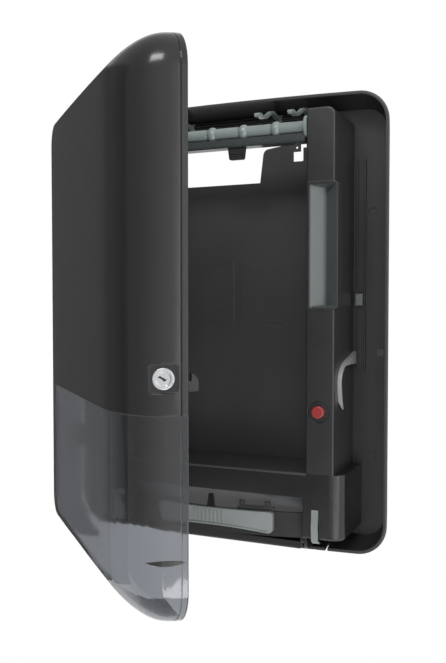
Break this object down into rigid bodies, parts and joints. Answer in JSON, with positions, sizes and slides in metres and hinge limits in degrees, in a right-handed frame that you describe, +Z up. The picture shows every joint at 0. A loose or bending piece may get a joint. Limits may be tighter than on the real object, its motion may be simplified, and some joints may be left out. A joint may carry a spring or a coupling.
{
  "type": "hand towel dispenser",
  "caption": "Lockable wall cabinet for a continuous folded web of hand towels, with a hinged cover, guide roller, web fingers, push button and outlet gate.",
  "frame": {"origin": "centre of the four wall-screw holes, on the wall plane", "axes": "+X to the right as seen from the room, +Y into the wall, +Z up"},
  "size_m": [0.3849, 0.3194, 0.4906],
  "materials": {
    "black_plastic": "satin moulded",
    "inner_black_plastic": "fine grained",
    "smoked_plastic": "polished, translucent",
    "grey_plastic": "satin",
    "teal_grey_plastic": "satin",
    "pale_plastic": "satin",
    "ramp_plastic": "satin",
    "red_plastic": "polished",
    "chrome": "polished",
    "steel": "brushed"
  },
  "bodies": {
    "housing": {"rear_housing": "black_plastic", "back_panel": "inner_black_plastic", "right_column": "inner_black_plastic", "left_column": "inner_black_plastic", "towel_shelf": "inner_black_plastic", "lower_frame": "inner_black_plastic", "web_tab": "inner_black_plastic", "right_finger_bracket": "inner_black_plastic", "left_finger_bracket": "inner_black_plastic", "button_bezel": "inner_black_plastic", "button_cup": "inner_black_plastic", "lock_keeper": "inner_black_plastic", "outlet_lip": "inner_black_plastic", "right_insert": "grey_plastic", "left_insert": "grey_plastic", "roller_rail": "grey_plastic", "right_roller_bracket": "teal_grey_plastic", "left_roller_bracket": "teal_grey_plastic", "right_release_tab": "pale_plastic", "left_release_tab": "pale_plastic", "right_side_clip": "pale_plastic", "left_side_clip": "pale_plastic", "brake_leaf": "pale_plastic", "throat_ramp": "ramp_plastic", "roller_axle": "steel", "button_spring": "steel", "column_screws": "steel", "hinge_pins": "steel"},
    "cover": {"cover_shell": "black_plastic", "cover_window": "smoked_plastic", "cover_hinge_arms": "inner_black_plastic", "lock_box": "inner_black_plastic", "grip_inlay": "inner_black_plastic"},
    "lock": {"lock_cylinder": "chrome", "keyway_shutter": "inner_black_plastic"},
    "latch": {"latch_tongue": "inner_black_plastic"},
    "gate": {"gate_plate": "inner_black_plastic", "gate_handle": "pale_plastic", "gate_knob": "inner_black_plastic", "right_gate_guide": "inner_black_plastic", "left_gate_guide": "inner_black_plastic"},
    "roller": {"guide_roller": "teal_grey_plastic"},
    "fingers": {"web_fingers": "teal_grey_plastic", "finger_shaft": "inner_black_plastic"},
    "button": {"push_button": "red_plastic"}
  },
  "joints": [
    {"name": "cover_hinge", "type": "hinge", "parent": "housing", "child": "cover", "pos_m": [-0.1802, -0.048, 0], "axis": [0, 0, -1], "range_deg": [-44, 60]},
    {"name": "lock_turn", "type": "hinge", "parent": "cover", "child": "lock", "pos_m": [0.06647, -0.31512, -0.0261], "axis": [0.4787, -0.878, 0], "range_deg": [0, 90]},
    {"name": "latch_slide", "type": "slide", "parent": "cover", "child": "latch", "axis": [0, 0, 1], "range_m": [0, 0.005]},
    {"name": "gate_hinge", "type": "hinge", "parent": "housing", "child": "gate", "pos_m": [0, -0.064, -0.215], "axis": [1, 0, 0], "range_deg": [0, 30]},
    {"name": "roller_spin", "type": "hinge", "parent": "housing", "child": "roller", "pos_m": [0, -0.077, 0.215], "axis": [1, 0, 0], "continuous": true},
    {"name": "finger_lift", "type": "hinge", "parent": "housing", "child": "fingers", "pos_m": [0, -0.0145, 0.24], "axis": [-1, 0, 0], "range_deg": [0, 3]},
    {"name": "button_press", "type": "slide", "parent": "housing", "child": "button", "axis": [0, 1, 0], "range_m": [0, 0.003], "stiffness_N_per_m": 300, "springref_m": -0.002, "deforming": ["button_spring"]}
  ],
  "couplings": [
    {"joint": "lock_turn", "follows": "latch_slide", "rad_per_m": 314.13}
  ]
}
